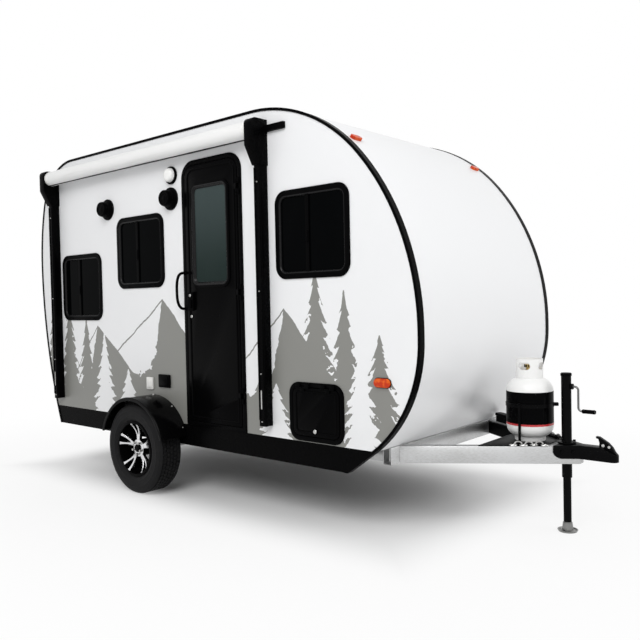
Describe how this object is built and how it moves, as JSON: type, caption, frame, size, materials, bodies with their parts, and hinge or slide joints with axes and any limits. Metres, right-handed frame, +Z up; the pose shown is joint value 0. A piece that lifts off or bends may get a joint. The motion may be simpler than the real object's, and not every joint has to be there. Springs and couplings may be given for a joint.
{
  "type": "travel trailer",
  "caption": "Small round-nosed travel trailer with outboard wheels under fenders, a side entry door, sliding windows, a rolled awning, a tongue jack, a gas cylinder and a ball coupler.",
  "frame": {"origin": "centre of the overall box at ground level", "axes": "+X forward to the coupler, +Y to the trailer's left, +Z up; the entry door is on the right, Y below 0"},
  "size_m": [4.702, 2.15, 2.69],
  "materials": {
    "white_skin": "gloss white sheet, faint waves",
    "black_trim": "satin black powder coat",
    "black_plastic": "fine grained black plastic",
    "door_black": "semi gloss black moulding",
    "dark_glass": "dark tinted safety glass",
    "door_tint": "grey green frosted pane",
    "white_lens": "opal white lens",
    "amber_lens": "amber lens",
    "red_lens": "red lens",
    "white_plastic": "white plastic",
    "awning_cloth": "white vinyl cloth, rolled",
    "deck_ply": "sealed plywood",
    "bare_aluminium": "mill finish box section",
    "axle_steel": "grey hammered paint",
    "coupler_black": "black enamel, worn at edges",
    "zinc": "zinc plated steel",
    "tank_white": "white enamel with a dark sleeve",
    "valve_brass": "brass valve",
    "tyre": "black tread rubber",
    "alloy": "machined face, black pockets",
    "plate_blank": "blank white plate"
  },
  "bodies": {
    "trailer": {"side_wall_right": "white_skin", "side_wall_left": "white_skin", "front_panel": "white_skin", "roof_panel": "white_skin", "rear_panel": "white_skin", "skirt_right": "black_trim", "skirt_left": "black_trim", "edge_trim_right": "black_trim", "edge_trim_left": "black_trim", "floor_deck": "deck_ply", "window_frames_right": "black_plastic", "window_frames_left": "black_plastic", "window_glass_right": "dark_glass", "window_glass_left": "dark_glass", "door_frame": "black_trim", "grab_handle": "black_plastic", "hatch_frame": "black_plastic", "speakers": "black_plastic", "porch_light": "white_lens", "side_markers": "amber_lens", "outlet_covers": "white_plastic", "front_clearance_lamps": "amber_lens", "rear_clearance_lamps": "red_lens", "tail_lamps": "red_lens", "plate_holder": "plate_blank", "awning_arm_front": "black_trim", "awning_arm_rear": "black_trim", "awning_roll": "awning_cloth", "chassis": "bare_aluminium", "tongue_rail_right": "bare_aluminium", "tongue_rail_left": "bare_aluminium", "axle": "axle_steel", "coupler": "coupler_black", "coupler_latch": "coupler_black", "jack_tube": "zinc", "jack_crank": "zinc", "tank_tray": "bare_aluminium", "propane_tank": "tank_white", "tank_valve": "valve_brass", "fender_right": "black_plastic", "fender_left": "black_plastic", "roof_vent_base": "white_plastic"},
    "door": {"entry_door": "door_black", "door_glass": "door_tint", "door_latch": "black_plastic"},
    "hatch": {"hatch_door": "door_black"},
    "vent_lid": {"roof_vent_lid": "white_plastic"},
    "wheel_right": {"tyre_right": "tyre", "rim_right": "alloy"},
    "wheel_left": {"tyre_left": "tyre", "rim_left": "alloy"},
    "jack_inner": {"jack_leg": "zinc"}
  },
  "joints": [
    {"name": "wheel_right_spin", "type": "hinge", "parent": "trailer", "child": "wheel_right", "pos_m": [-0.739, -0.9555, 0.328], "axis": [0, 1, 0], "continuous": true},
    {"name": "wheel_left_spin", "type": "hinge", "parent": "trailer", "child": "wheel_left", "pos_m": [-0.739, 0.9555, 0.328], "axis": [0, 1, 0], "continuous": true},
    {"name": "door_hinge", "type": "hinge", "parent": "trailer", "child": "door", "pos_m": [0.2095, -0.858, 1.45], "axis": [0, 0, 1], "range_deg": [0, 120]},
    {"name": "hatch_hinge", "type": "hinge", "parent": "trailer", "child": "hatch", "pos_m": [0.854, -0.858, 0.851], "axis": [-1, 0, 0], "range_deg": [0, 110]},
    {"name": "vent_lid_hinge", "type": "hinge", "parent": "trailer", "child": "vent_lid", "pos_m": [-0.644, 0, 2.649], "axis": [0, 1, 0], "range_deg": [0, 65]},
    {"name": "jack_slide", "type": "slide", "parent": "trailer", "child": "jack_inner", "axis": [0, 0, 1], "range_m": [0, 0.25]}
  ]
}
